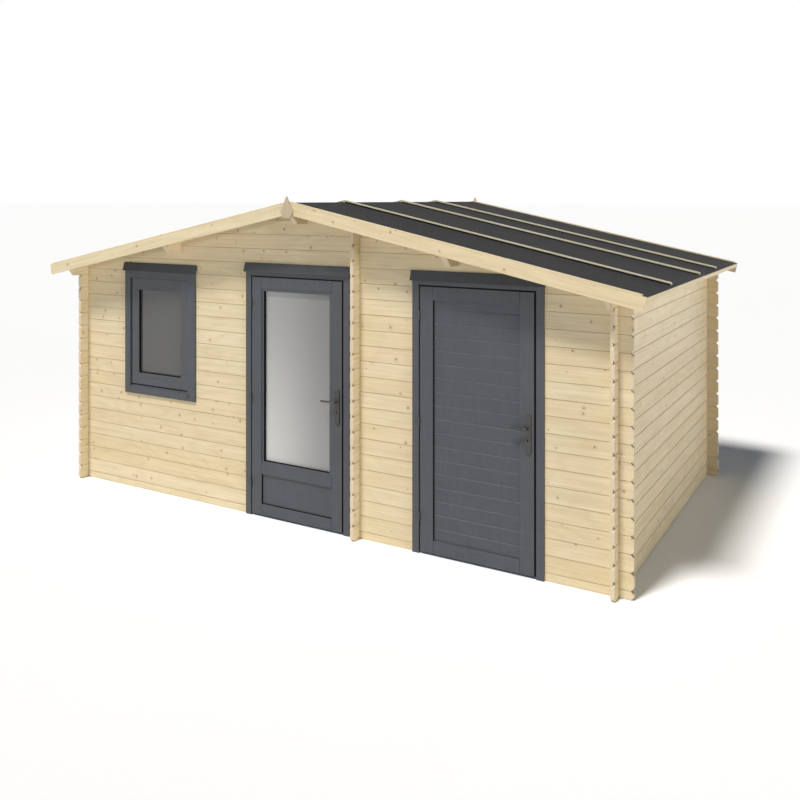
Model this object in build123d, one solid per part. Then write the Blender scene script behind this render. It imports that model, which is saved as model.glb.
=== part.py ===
from build123d import *
import math
import os

# Log cabin with two rooms, all lengths in millimetres.
# X runs along the front, the front faces minus Y, Z is up, the ground is Z zero.

# Logs and walls
log_pitch = 114
log_thick = 28
wall_width = 4860
wall_depth = 2860
log_stub = 96
cross_log_stub = 86
log_end_chamfer = 20
log_edge_chamfer = 4
fit_gap = 0.3
top_log_height = 119
top_log_bevel_run = 34
top_log_bevel_rise = 46
partition_share = 0.10084
least_row_share = 0.2

# Roof
roof_pitch_deg = 11.9
deck_thick = 18
felt_thick = 3
eave_overhang = 227
verge_overhang = 208
barge_height = 90
barge_thick = 20
eave_board_thick = 14
eave_board_height = 32
batten_width = 30
batten_thick = 12
batten_setback = 30
batten_place_shares = (-0.3010, 0.0260, 0.2588)
verge_lath_width = 40
verge_lath_thick = 8
purlin_width = 44
purlin_height = 143
purlin_place_share = 0.2653
purlin_bevel_rise = 80
purlin_wall_reach = 112

# Finials
finial_width = 108
finial_height = 166
finial_thick = 18
finial_tip_rise = 47
finial_edge_shares = ((0.36, 0.50), (0.62, 0.98), (0.70, 1.0), (0.84, 0.84), (1.0, 0.54))

# Frames round the doorways and the window
frame_proud = 15
frame_lap = 25
frame_stop = 14
frame_stop_thick = 16
drip_height = 72
drip_thick = 14
drip_throw = 34
drip_lip = 12
drip_end_lap = 12

# Window
window_width = 815
window_place_share = -0.3110
window_rows = 9
window_face = 62
window_step = 20
window_step_recess = 9
window_sill_lap = 36
sash_stile = 71
sash_rail = 90
sash_thick = 36
sash_setback = 2
sash_gap = 3
sash_pane_recess = 24
pane_thick = 4
pane_rebate = 10

# Doors
door_frame_width = 986
door_face = 54
leaf_height = 1872
leaf_thick = 40
leaf_ground_gap = 17
leaf_gap = 8
lock_gap = 12
leaf_stop_gap = 6
threshold_height = 34
threshold_depth = 40
glazed_door_clear = 51
glazed_stile = 96
glazed_top_rail = 91
glazed_mid_rail_low = 336
glazed_mid_rail = 85
glazed_bottom_rail = 86
glazed_pane_recess = 28
panel_recess = 12
panel_thick = 14
store_door_share = 0.2983
store_stile = 104
store_top_rail = 98
store_bottom_rail = 92
board_pitch = 96
top_board_share = 0.63
board_groove = 5

# Hinges and handles
hinge_height_shares = (0.13, 0.487, 0.89)
hinge_barrel_radius = 7
hinge_half_height = 32
hinge_plate_thick = 2.5
hinge_plate_depth = 30
hinge_stand_off = 9
handle_height = 990
handle_plate_height = 268
handle_plate_width = 44
handle_plate_thick = 9
handle_plate_rise = 69
lock_setback = 44
lever_length = 122
lever_radius = 9
lever_reach = 42
lever_thick = 10
keyhole_drop = 77
keyhole_radius = 5
keyhole_length = 15
round_facets = 8


# Shapes between stated faces
def block(x0, x1, y0, y1, z0, z1):
    middle = Pos((x0 + x1) / 2, (y0 + y1) / 2, (z0 + z1) / 2)
    return middle * Box(x1 - x0, y1 - y0, z1 - z0)


def prism_x(outline, x0, x1):
    wire = Wire.make_polygon([Vector(x0, y, z) for y, z in outline])
    return Solid.extrude(Face(wire), Vector(x1 - x0, 0, 0))


def prism_y(outline, y0, y1):
    wire = Wire.make_polygon([Vector(x, y0, z) for x, z in outline])
    return Solid.extrude(Face(wire), Vector(0, y1 - y0, 0))


def prism_z(outline, z0, z1):
    wire = Wire.make_polygon([Vector(x, y, z0) for x, y in outline])
    return Solid.extrude(Face(wire), Vector(0, 0, z1 - z0))


# Small round fittings are faceted, to keep the face count low
def arc(a, b, radius, start_deg, end_deg):
    steps = max(2, round(round_facets * abs(end_deg - start_deg) / 360))
    points = []
    for step in range(steps + 1):
        turn = math.radians(start_deg + (end_deg - start_deg) * step / steps)
        points.append((a + radius * math.cos(turn), b + radius * math.sin(turn)))
    return points


def ring(a, b, radius):
    return arc(a, b, radius, 0, 360)[:-1]


def less(shape, cutters):
    left = shape
    for cutter in cutters:
        left = left - cutter
    return left


def pieces(shape):
    return list(shape.solids())


# Places that follow from the sizes above
half_width = wall_width / 2
half_depth = wall_depth / 2
half_log = log_thick / 2
slope = math.tan(math.radians(roof_pitch_deg))
slope_cos = math.cos(math.radians(roof_pitch_deg))
slope_sin = math.sin(math.radians(roof_pitch_deg))
head_low_z = leaf_ground_gap + leaf_height + leaf_gap
side_rows = int(head_low_z // log_pitch)
ridge_z = side_rows * log_pitch + top_log_height + half_width * slope
roof_half_span = half_width + eave_overhang
barge_face_y = half_depth + verge_overhang
barge_back_y = barge_face_y - barge_thick
cover = deck_thick + felt_thick
felt_ridge_z = ridge_z + cover / slope_cos
partition_x = partition_share * wall_width
log_reach_x = half_width + log_stub
log_reach_y = half_depth + cross_log_stub
front_mid_y = -half_depth + half_log
back_mid_y = half_depth - half_log
wall_front_y = -half_depth
wall_inner_y = -half_depth + log_thick
side_mid_x = half_width - half_log
clear_z = ridge_z + wall_depth
wide_x = wall_width


def underside(x):
    return ridge_z - abs(x) * slope


# Everything above the underside of the roof boards, to trim logs and purlins
def above_roof():
    edge_z = ridge_z - wide_x * slope - fit_gap
    outline = [(-wide_x, edge_z), (0, ridge_z - fit_gap), (wide_x, edge_z)]
    outline = outline + [(wide_x, clear_z), (-wide_x, clear_z)]
    return prism_y(outline, -wide_x, wide_x)


roof_cutter = above_roof()


# The lower edges of a log are chamfered, so that each joint shows as a groove
def log_outline(mid, z0, z1):
    c = log_edge_chamfer
    high = z1 - fit_gap
    return [
        (mid - half_log + c, z0),
        (mid + half_log - c, z0),
        (mid + half_log, z0 + c),
        (mid + half_log, high),
        (mid - half_log, high),
        (mid - half_log, z0 + c),
    ]


# Corner chamfers of a log end, as outlines along the log and up
def end_outlines(end, inward, z0, z1):
    c = log_end_chamfer * inward
    d = log_end_chamfer
    top = [(end, z1), (end + c, z1), (end, z1 - d)]
    bottom = [(end, z0), (end + c, z0), (end, z0 + d)]
    return [top, bottom]


# A saddle notch takes half a log's height from below, over the log that it crosses
saddle_reach = half_log + fit_gap
saddle_depth = log_pitch / 2


def saddle_over_y(x, mid_y, z0):
    near = mid_y - log_thick
    far = mid_y + log_thick
    return block(x - saddle_reach, x + saddle_reach, near, far, z0 - log_pitch, z0 + saddle_depth)


def saddle_over_x(y, mid_x, z0):
    near = mid_x - log_thick
    far = mid_x + log_thick
    return block(near, far, y - saddle_reach, y + saddle_reach, z0 - log_pitch, z0 + saddle_depth)


# A gable row above the side walls ends between their top logs
def log_along_x(mid_y, z0, z1):
    beside = z0 > side_rows * log_pitch
    reach_x = half_width - log_thick - fit_gap if beside else log_reach_x
    body = prism_x(log_outline(mid_y, z0, z1), -reach_x, reach_x)
    cutters = []
    if z0 > 0:
        cutters.append(saddle_over_y(partition_x, mid_y, z0))
    for side in (-1, 1):
        if not beside:
            for outline in end_outlines(side * reach_x, -side, z0, z1):
                cutters.append(prism_y(outline, mid_y - log_thick, mid_y + log_thick))
        if z0 > 0 and not beside:
            cutters.append(saddle_over_y(side * side_mid_x, mid_y, z0))
    return less(body, cutters)


def log_along_y(mid_x, z0, z1, reach_y, bevels):
    body = prism_y(log_outline(mid_x, z0, z1), -reach_y, reach_y)
    cutters = []
    for end, inward in ((-reach_y, 1), (reach_y, -1)):
        if bevels:
            run = top_log_bevel_run * inward
            outlines = [[(end, z0), (end + run, z0), (end, z0 + top_log_bevel_rise)]]
        else:
            outlines = end_outlines(end, inward, z0, z1)
        for outline in outlines:
            cutters.append(prism_x(outline, mid_x - log_thick, mid_x + log_thick))
    for y in (front_mid_y, back_mid_y):
        cutters.append(saddle_over_x(y, mid_x, z0))
    return less(body, cutters)


# Openings that the frames fill
window_x = window_place_share * wall_width
window_x0 = window_x - window_width / 2
window_x1 = window_x + window_width / 2
window_hole_z1 = side_rows * log_pitch + saddle_depth
window_hole_z0 = window_hole_z1 - window_rows * log_pitch
door_top_z = head_low_z + door_face
door_hole_z1 = door_top_z - frame_lap
glazed_x0 = partition_x - half_log - glazed_door_clear - door_frame_width
store_x0 = store_door_share * wall_width - door_frame_width / 2


def opening(x0, x1, z0, z1):
    lap = frame_lap
    return block(x0 + lap, x1 - lap, wall_front_y - log_thick, wall_inner_y + log_thick, z0, z1)


def front_openings():
    return [
        opening(window_x0, window_x1, window_hole_z0, window_hole_z1),
        opening(glazed_x0, glazed_x0 + door_frame_width, -log_pitch, door_hole_z1),
        opening(store_x0, store_x0 + door_frame_width, -log_pitch, door_hole_z1),
    ]


# Purlins lie in the gables and run out to the barge boards
purlin_x = purlin_place_share * wall_width


def purlin_spans():
    return [
        (0, ridge_z - purlin_height),
        (-purlin_x, underside(purlin_x) - purlin_height),
        (purlin_x, underside(purlin_x) - purlin_height),
    ]


def purlin(x, low):
    half = purlin_width / 2
    body = block(x - half, x + half, -barge_back_y, barge_back_y, low, clear_z)
    cutters = [roof_cutter]
    for side in (-1, 1):
        end = barge_back_y * side
        foot = (half_depth + purlin_wall_reach) * side
        outline = [(end, low), (foot, low), (end, low + purlin_bevel_rise)]
        cutters.append(prism_x(outline, x - purlin_width, x + purlin_width))
    return less(body, cutters)


def purlin_slots():
    half = purlin_width / 2 + fit_gap
    slots = []
    for x, low in purlin_spans():
        slots.append(block(x - half, x + half, -wide_x, wide_x, low - fit_gap, clear_z))
    return slots


# Front and back rows start with a half log, so corners interlock
def gable_rows():
    rows = [(0, log_pitch / 2)]
    low = log_pitch / 2
    while ridge_z - low > log_pitch * (1 + least_row_share):
        rows.append((low, low + log_pitch))
        low = low + log_pitch
    rows.append((low, ridge_z))
    return rows


def gable_wall(mid_y, openings):
    wall = []
    slots = purlin_slots()
    for z0, z1 in gable_rows():
        log = log_along_x(mid_y, z0, z1)
        log = less(log, openings)
        if z1 > side_rows * log_pitch:
            log = less(log, slots + [roof_cutter])
        for piece in pieces(log):
            size = piece.bounding_box()
            if size.max.X - size.min.X > log_pitch:
                wall.append(piece)
    return wall


def side_wall(mid_x):
    wall = []
    for row in range(side_rows):
        wall.append(log_along_y(mid_x, row * log_pitch, (row + 1) * log_pitch, log_reach_y, False))
    low = side_rows * log_pitch
    top = log_along_y(mid_x, low, low + 2 * log_pitch, barge_back_y, True)
    wall.append(top - roof_cutter)
    return [piece for log in wall for piece in pieces(log)]


def partition_wall():
    wall = []
    low = 0
    while underside(partition_x) - low > log_pitch * least_row_share:
        log = log_along_y(partition_x, low, low + log_pitch, log_reach_y, False)
        wall.append(log - roof_cutter)
        low = low + log_pitch
    return [piece for log in wall for piece in pieces(log)]


def front_groups(wall):
    groups = {
        "front_wall_under_window": [],
        "front_wall_left_of_window": [],
        "front_wall_window_to_door": [],
        "front_wall_between_doors": [],
        "front_wall_right": [],
        "front_gable": [],
    }
    for piece in wall:
        size = piece.bounding_box()
        x0 = size.min.X
        x1 = size.max.X
        if x0 < glazed_x0 and x1 > store_x0 or size.min.Z > door_hole_z1:
            groups["front_gable"].append(piece)
        elif x0 > store_x0 + door_face:
            groups["front_wall_right"].append(piece)
        elif x0 > glazed_x0 + door_face:
            groups["front_wall_between_doors"].append(piece)
        elif x0 > window_x:
            groups["front_wall_window_to_door"].append(piece)
        elif x1 > window_x:
            groups["front_wall_under_window"].append(piece)
        else:
            groups["front_wall_left_of_window"].append(piece)
    return groups


def back_groups(wall):
    low = [piece for piece in wall if piece.bounding_box().max.Z < window_hole_z1 + fit_gap]
    high = [piece for piece in wall if piece.bounding_box().max.Z >= window_hole_z1 + fit_gap]
    return {"back_wall": low, "back_gable": high}


# Roof layers, as outlines across the ridge for the slope at plus X
def slope_point(run, rise):
    x = run * slope_cos + rise * slope_sin
    z = ridge_z - run * slope_sin + rise * slope_cos
    return (x, z)


def layer_outline(run0, run1, rise0, rise1):
    start = []
    for rise in (rise1, rise0):
        if run0 == 0:
            start.append((fit_gap, ridge_z + rise / slope_cos - fit_gap * slope))
        else:
            start.append(slope_point(run0, rise))
    return [start[1], slope_point(run1, rise0), slope_point(run1, rise1), start[0]]


def mirrored(outline, side):
    return [(x * side, z) for x, z in outline]


roof_run = (roof_half_span - cover * slope_sin) / slope_cos
deck_run = roof_run - eave_board_thick


def roof_deck(side):
    outline = layer_outline(0, deck_run, 0, deck_thick)
    return [prism_y(mirrored(outline, side), -barge_back_y, barge_back_y)]


def roof_felt(side):
    outline = layer_outline(0, roof_run, deck_thick, cover)
    return [prism_y(mirrored(outline, side), -barge_back_y, barge_back_y)]


def eave_board(side):
    outline = layer_outline(deck_run, roof_run, deck_thick - eave_board_height, deck_thick)
    return [prism_y(mirrored(outline, side), -barge_back_y, barge_back_y)]


def roof_battens(side):
    outline = layer_outline(0, roof_run - batten_setback, cover, cover + batten_thick)
    outline = mirrored(outline, side)
    half = batten_width / 2
    places = [share * wall_depth for share in batten_place_shares]
    battens = [prism_y(outline, y - half, y + half) for y in places]
    lath = layer_outline(0, roof_run - batten_setback, cover, cover + verge_lath_thick)
    lath = mirrored(lath, side)
    inner_y = barge_face_y - verge_lath_width
    for end in (-1, 1):
        battens.append(prism_y(lath, end * inner_y, end * barge_face_y))
    return battens


def barge_boards(end):
    boards = []
    outline = layer_outline(0, roof_run, cover - barge_height, cover)
    for side in (-1, 1):
        boards.append(prism_y(mirrored(outline, side), end * barge_back_y, end * barge_face_y))
    return boards


def finial(end):
    tip = felt_ridge_z + finial_tip_rise
    half = finial_width / 2
    right = [(half * out, tip - finial_height * down) for down, out in finial_edge_shares]
    left = [(-x, z) for x, z in reversed(right)]
    outline = [(0, tip)] + right + left
    return [prism_y(outline, end * barge_face_y, end * (barge_face_y + finial_thick))]


# Frame members are channels that take the log ends
frame_front_y = wall_front_y - fit_gap - frame_proud
groove_front_y = wall_front_y - fit_gap
groove_back_y = wall_inner_y + fit_gap


def channel(face, lap, back_y, stop_y, ledge, ledge_recess):
    outline = [(0, frame_front_y), (face, frame_front_y)]
    if ledge > 0:
        outline.append((face, frame_front_y + ledge_recess))
        outline.append((face + ledge, frame_front_y + ledge_recess))
    inner = face + ledge
    outline = outline + [
        (inner, stop_y),
        (inner + frame_stop, stop_y),
        (inner + frame_stop, back_y),
        (0, back_y),
        (0, groove_back_y),
        (lap + fit_gap, groove_back_y),
        (lap + fit_gap, groove_front_y),
        (0, groove_front_y),
    ]
    return outline


def upright(outline, edge, side, z0, z1):
    return prism_z([(edge + side * a, y) for a, y in outline], z0, z1)


# The wall's own thickness above and below an opening, which frames leave free
def wall_over(z):
    return block(-wide_x, wide_x, groove_front_y, groove_back_y, z - fit_gap, clear_z)


def wall_under(z):
    return block(-wide_x, wide_x, groove_front_y, groove_back_y, -clear_z, z + fit_gap)


def level(outline, edge, side, x0, x1):
    return prism_x([(y, edge + side * a) for a, y in outline], x0, x1)


def drip_board(x0, x1, low):
    high = low + drip_height
    front = frame_front_y - fit_gap
    outline = [
        (groove_front_y, low + frame_lap + fit_gap),
        (groove_front_y, high),
        (groove_front_y - drip_thick, high),
        (groove_front_y - drip_throw, low),
        (groove_front_y - drip_throw + drip_lip, low),
        (front, low + drip_lip),
        (front, low + frame_lap + fit_gap),
    ]
    return [prism_x(outline, x0 - drip_end_lap, x1 + drip_end_lap)]


# Window with a fixed sash
sash_front_y = frame_front_y + sash_setback
sash_back_y = sash_front_y + sash_thick
window_back_y = sash_back_y + frame_stop_thick
window_z0 = window_hole_z0 - window_sill_lap
window_z1 = window_hole_z1 + frame_lap
sash_inset = window_face + window_step + sash_gap
sash_x0 = window_x0 + sash_inset
sash_x1 = window_x1 - sash_inset
sash_z0 = window_z0 + sash_inset
sash_z1 = window_z1 - sash_inset


def window_frame():
    side = channel(
        window_face, frame_lap, window_back_y, sash_back_y, window_step, window_step_recess
    )
    sill = channel(
        window_face, window_sill_lap, window_back_y, sash_back_y, window_step, window_step_recess
    )
    jambs = [
        upright(side, window_x0, 1, window_z0, window_z1),
        upright(side, window_x1, -1, window_z0, window_z1),
    ]
    room = [
        upright([(a + fit_gap, y) for a, y in side], window_x0, 1, window_z0, window_z1),
        upright([(a + fit_gap, y) for a, y in side], window_x1, -1, window_z0, window_z1),
    ]
    inner0 = window_x0 + window_face + fit_gap
    inner1 = window_x1 - window_face - fit_gap
    rails = [
        level(sill, window_z0, 1, inner0, inner1),
        level(side, window_z1, -1, inner0, inner1),
    ]
    wall = [wall_over(window_hole_z1), wall_under(window_hole_z0)]
    return [less(jamb, wall) for jamb in jambs] + [less(rail, room) for rail in rails]


# A framed leaf is two stiles with rails between, rebated from the back
def framed_leaf(x0, x1, z0, z1, stile, rails, front_y, thick, rebates):
    back_y = front_y + thick
    members = [
        block(x0, x0 + stile, front_y, back_y, z0, z1),
        block(x1 - stile, x1, front_y, back_y, z0, z1),
    ]
    for low, high in rails:
        members.append(
            block(x0 + stile + fit_gap, x1 - stile - fit_gap, front_y, back_y, low, high)
        )
    cutters = []
    for low, high, recess in rebates:
        cutters.append(
            block(
                x0 + stile - pane_rebate,
                x1 - stile + pane_rebate,
                front_y + recess,
                back_y + thick,
                low - pane_rebate,
                high + pane_rebate,
            )
        )
    return [less(member, cutters) for member in members]


def infill(x0, x1, stile, low, high, front_y, recess, thick):
    lap = pane_rebate - fit_gap
    near = front_y + recess + fit_gap
    return block(x0 + stile - lap, x1 - stile + lap, near, near + thick, low - lap, high + lap)


def window_parts():
    low = sash_z0 + sash_rail
    high = sash_z1 - sash_rail
    rails = [(sash_z0, low), (high, sash_z1)]
    rebate = [(low, high, sash_pane_recess)]
    sash = framed_leaf(
        sash_x0, sash_x1, sash_z0, sash_z1, sash_stile, rails, sash_front_y, sash_thick, rebate
    )
    pane = infill(
        sash_x0, sash_x1, sash_stile, low, high, sash_front_y, sash_pane_recess, pane_thick
    )
    return {
        "window_frame": window_frame(),
        "window_drip_board": drip_board(window_x0, window_x1, window_z1 - frame_lap),
        "window_sash": sash,
        "window_pane": [pane],
    }


# Doorway frames, with the leaf flush with the front of the frame
leaf_front_y = frame_front_y
leaf_back_y = leaf_front_y + leaf_thick
stop_y = leaf_back_y + leaf_stop_gap
door_back_y = stop_y + frame_stop_thick
leaf_z0 = leaf_ground_gap
leaf_z1 = leaf_ground_gap + leaf_height


def door_frame(x0):
    x1 = x0 + door_frame_width
    section = channel(door_face, frame_lap, door_back_y, stop_y, 0, 0)
    wide = [(a + fit_gap, y) for a, y in section]
    room = [upright(wide, x0, 1, 0, door_top_z), upright(wide, x1, -1, 0, door_top_z)]
    inner0 = x0 + door_face + fit_gap
    inner1 = x1 - door_face - fit_gap
    head = level(section, door_top_z, -1, inner0, inner1)
    sill = block(inner0, inner1, stop_y, stop_y + threshold_depth, 0, threshold_height)
    jambs = [upright(section, x0, 1, 0, door_top_z), upright(section, x1, -1, 0, door_top_z)]
    jambs = [jamb - wall_over(door_hole_z1) for jamb in jambs]
    return jambs + [less(head, room), less(sill, room)]


def leaf_span(x0):
    return x0 + door_face + leaf_gap, x0 + door_frame_width - door_face - lock_gap


# Lift-off hinges stand in the gap at the left of each leaf, one half on each side of it
def hinge_axis(x0):
    return x0 + door_face + leaf_gap / 2, leaf_front_y - hinge_stand_off


def hinge_half(x, y, z0, z1, side):
    edge = x + side * (leaf_gap / 2 - fit_gap)
    inner = edge - side * hinge_plate_thick
    barrel = prism_z(ring(x, y, hinge_barrel_radius), z0, z1)
    back_y = leaf_front_y + hinge_plate_depth
    return barrel + block(min(edge, inner), max(edge, inner), y, back_y, z0, z1)


def hinge_halves(x0, upper):
    x, y = hinge_axis(x0)
    solids = []
    for share in hinge_height_shares:
        z = leaf_z0 + leaf_height * share
        if upper:
            solids.append(hinge_half(x, y, z, z + hinge_half_height, 1))
        else:
            solids.append(hinge_half(x, y, z - hinge_half_height, z - fit_gap, -1))
    return solids


# Lever handles stand on long plates inside and outside
def handle_plate(x, y0, y1):
    half = handle_plate_width / 2
    high = handle_height + handle_plate_rise
    low = high + handle_plate_width - handle_plate_height
    body = prism_y(arc(x, high, half, 0, 180) + arc(x, low, half, 180, 360), y0, y1)
    key_z = handle_height - keyhole_drop
    deep0 = y0 - handle_plate_thick
    deep1 = y1 + handle_plate_thick
    half_slot = keyhole_radius / 2
    keyhole = prism_y(ring(x, key_z, keyhole_radius), deep0, deep1)
    slot = block(x - half_slot, x + half_slot, deep0, deep1, key_z - keyhole_length, key_z)
    return body - (keyhole + slot)


def handle_plates(x):
    return [
        handle_plate(x, leaf_front_y - handle_plate_thick, leaf_front_y),
        handle_plate(x, leaf_back_y, leaf_back_y + handle_plate_thick),
    ]


def lever(x):
    solids = []
    plate_front = leaf_front_y - handle_plate_thick - fit_gap
    plate_back = leaf_back_y + handle_plate_thick + fit_gap
    for base, outward in ((plate_front, -1), (plate_back, 1)):
        neck_end = base + outward * lever_reach
        grip_base = neck_end - outward * lever_thick
        round_neck = ring(x, handle_height, lever_radius)
        neck = prism_y(round_neck, min(base, grip_base), max(base, grip_base))
        near = min(grip_base, neck_end)
        far = max(grip_base, neck_end)
        tip = x - lever_length + lever_radius
        outline = arc(x, handle_height, lever_radius, -90, 90)
        outline = outline + arc(tip, handle_height, lever_radius, 90, 270)
        grip = prism_y(outline, near, far)
        solids.append(neck + grip)
    return solids


def glazed_door():
    x0, x1 = leaf_span(glazed_x0)
    panel_low = leaf_z0 + glazed_bottom_rail
    panel_high = glazed_mid_rail_low
    pane_low = glazed_mid_rail_low + glazed_mid_rail
    pane_high = leaf_z1 - glazed_top_rail
    rails = [(leaf_z0, panel_low), (panel_high, pane_low), (pane_high, leaf_z1)]
    rebates = [(panel_low, panel_high, panel_recess), (pane_low, pane_high, glazed_pane_recess)]
    leaf = framed_leaf(
        x0, x1, leaf_z0, leaf_z1, glazed_stile, rails, leaf_front_y, leaf_thick, rebates
    )
    lock_x = x1 - lock_setback
    pane = infill(
        x0, x1, glazed_stile, pane_low, pane_high, leaf_front_y, glazed_pane_recess, pane_thick
    )
    panel = infill(
        x0, x1, glazed_stile, panel_low, panel_high, leaf_front_y, panel_recess, panel_thick
    )
    return {
        "glazed_door_frame": door_frame(glazed_x0),
        "glazed_door_drip_board": drip_board(
            glazed_x0, glazed_x0 + door_frame_width, door_top_z - frame_lap
        ),
        "glazed_door_leaf": leaf,
        "glazed_door_pane": [pane],
        "glazed_door_panel": [panel],
        "glazed_door_hinge_pins": hinge_halves(glazed_x0, False),
        "glazed_door_hinge_knuckles": hinge_halves(glazed_x0, True),
        "glazed_door_handle_plates": handle_plates(lock_x),
        "glazed_door_lever": lever(lock_x),
    }


# The store door has level boards in a frame, each with its upper edge chamfered
def store_boarding(x0, x1, low, high):
    near = leaf_front_y + panel_recess + fit_gap
    far = near + panel_thick
    lap = pane_rebate - fit_gap
    body = block(x0 + store_stile - lap, x1 - store_stile + lap, near, far, low - lap, high + lap)
    cutters = []
    z = high - board_pitch * top_board_share
    while z > low + board_groove:
        for face, inward in ((near, 1), (far, -1)):
            outline = [
                (face - inward * fit_gap, z - board_groove),
                (face + inward * board_groove, z),
                (face - inward * fit_gap, z),
            ]
            cutters.append(prism_x(outline, x0, x1))
        z = z - board_pitch
    return less(body, cutters)


def store_door():
    x0, x1 = leaf_span(store_x0)
    low = leaf_z0 + store_bottom_rail
    high = leaf_z1 - store_top_rail
    rails = [(leaf_z0, low), (high, leaf_z1)]
    rebates = [(low, high, panel_recess)]
    leaf = framed_leaf(
        x0, x1, leaf_z0, leaf_z1, store_stile, rails, leaf_front_y, leaf_thick, rebates
    )
    lock_x = x1 - lock_setback
    return {
        "store_door_frame": door_frame(store_x0),
        "store_door_drip_board": drip_board(
            store_x0, store_x0 + door_frame_width, door_top_z - frame_lap
        ),
        "store_door_leaf": leaf,
        "store_door_boarding": [store_boarding(x0, x1, low, high)],
        "store_door_hinge_pins": hinge_halves(store_x0, False),
        "store_door_hinge_knuckles": hinge_halves(store_x0, True),
        "store_door_handle_plates": handle_plates(lock_x),
        "store_door_lever": lever(lock_x),
    }


nodes = {}
nodes.update(front_groups(gable_wall(front_mid_y, front_openings())))
nodes.update(back_groups(gable_wall(back_mid_y, [])))
nodes["left_wall"] = side_wall(-side_mid_x)
nodes["right_wall"] = side_wall(side_mid_x)
nodes["partition_wall"] = partition_wall()
nodes["ridge_purlin"] = [purlin(*purlin_spans()[0])]
nodes["left_purlin"] = [purlin(*purlin_spans()[1])]
nodes["right_purlin"] = [purlin(*purlin_spans()[2])]
for name, side in (("left", -1), ("right", 1)):
    nodes["roof_deck_" + name] = roof_deck(side)
    nodes["roof_felt_" + name] = roof_felt(side)
    nodes["roof_battens_" + name] = roof_battens(side)
    nodes["eave_board_" + name] = eave_board(side)
for name, end in (("front", -1), ("back", 1)):
    nodes[name + "_barge_boards"] = barge_boards(end)
    nodes[name + "_finial"] = finial(end)
nodes.update(window_parts())
nodes.update(glazed_door())
nodes.update(store_door())

os.makedirs("parts", exist_ok=True)
for name, shapes in nodes.items():
    solids = [solid for shape in shapes for solid in shape.solids()]
    export_step(Compound(children=solids), "parts/" + name + ".step")
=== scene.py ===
import math

import bmesh
import bpy
from mathutils import Matrix, Vector


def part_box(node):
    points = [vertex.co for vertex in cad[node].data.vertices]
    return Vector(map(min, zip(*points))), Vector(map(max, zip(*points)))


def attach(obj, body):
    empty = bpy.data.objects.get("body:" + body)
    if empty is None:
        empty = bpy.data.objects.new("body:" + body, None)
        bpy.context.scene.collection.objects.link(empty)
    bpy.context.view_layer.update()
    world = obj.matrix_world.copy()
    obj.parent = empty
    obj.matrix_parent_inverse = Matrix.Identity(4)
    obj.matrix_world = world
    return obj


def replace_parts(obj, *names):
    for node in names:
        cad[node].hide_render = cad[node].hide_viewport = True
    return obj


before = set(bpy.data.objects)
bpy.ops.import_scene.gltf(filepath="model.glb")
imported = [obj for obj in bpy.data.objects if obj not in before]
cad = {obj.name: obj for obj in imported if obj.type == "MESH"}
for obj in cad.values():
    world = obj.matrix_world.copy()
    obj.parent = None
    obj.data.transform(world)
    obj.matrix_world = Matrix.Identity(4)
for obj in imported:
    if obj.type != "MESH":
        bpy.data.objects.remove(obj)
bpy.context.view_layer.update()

# Log walls
# Planed softwood logs, 28 mm thick and 114 mm high, lie on each other and are notched half through at each
# crossing. Every log has grain of its own, its tint and a few knots, and its sawn ends show the growth rings.
log_height = 0.114
knot_spacing = 0.22
knot_row = 0.115
largest_knot = 0.0105
ring_width = 0.0062
full_turn = 6.2832
joint_reach = 0.0036
pine_pale = (0.775, 0.670, 0.465, 1)
pine_deep = (0.60, 0.465, 0.280, 1)
pine_knot = (0.36, 0.205, 0.110, 1)
# Painted shade for the V joints between rows
pine_joint_shade = (0.36, 0.25, 0.14, 1)


class Reading:
    # A number read over the surface, worked out by nodes of the material
    def __init__(self, tree, socket):
        self.tree = tree
        self.socket = socket

    def through(self, node, *others):
        for place, value in enumerate((self,) + others):
            feed(self.tree, node.inputs[place], value)
        return Reading(self.tree, node.outputs[0])

    def math(self, operation, *others):
        made = self.tree.nodes.new("ShaderNodeMath")
        made.operation = operation
        return self.through(made, *others)

    def __add__(self, other):
        return self.math("ADD", other)

    def __sub__(self, other):
        return self.math("SUBTRACT", other)

    def __mul__(self, other):
        return self.math("MULTIPLY", other)

    def __truediv__(self, other):
        return self.math("DIVIDE", other)

    def over(self, limit):
        return self.math("GREATER_THAN", limit)

    def size(self):
        return self.math("ABSOLUTE")

    def floor(self):
        return self.math("FLOOR")

    def ramp(self, start, end, low=0.0, high=1.0):
        made = self.tree.nodes.new("ShaderNodeMapRange")
        made.interpolation_type = "SMOOTHSTEP"
        return self.through(made, start, end, low, high)


def feed(tree, socket, value):
    # A reading or a colour is linked to the socket, and a plain value is set on it
    if isinstance(value, Reading):
        tree.links.new(value.socket, socket)
    elif isinstance(value, bpy.types.NodeSocket):
        tree.links.new(value, socket)
    else:
        socket.default_value = value


def new_finish(name):
    finish = bpy.data.materials.new(name)
    finish.use_nodes = True
    tree = finish.node_tree
    shader = tree.nodes["Principled BSDF"]
    return finish, tree, shader


def read_place(tree, output="Object"):
    place = tree.nodes.new("ShaderNodeTexCoord")
    split = tree.nodes.new("ShaderNodeSeparateXYZ")
    tree.links.new(place.outputs[output], split.inputs[0])
    return [Reading(tree, socket) for socket in split.outputs]


def join(tree, *numbers):
    made = tree.nodes.new("ShaderNodeCombineXYZ")
    for place, value in enumerate(numbers):
        feed(tree, made.inputs[place], value)
    return made.outputs[0]


def mottle(tree, vector, scale=1.0, detail=2.0, rough=0.5):
    made = tree.nodes.new("ShaderNodeTexNoise")
    tree.links.new(vector, made.inputs["Vector"])
    made.inputs["Scale"].default_value = scale
    made.inputs["Detail"].default_value = detail
    made.inputs["Roughness"].default_value = rough
    return Reading(tree, made.outputs[0])


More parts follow.
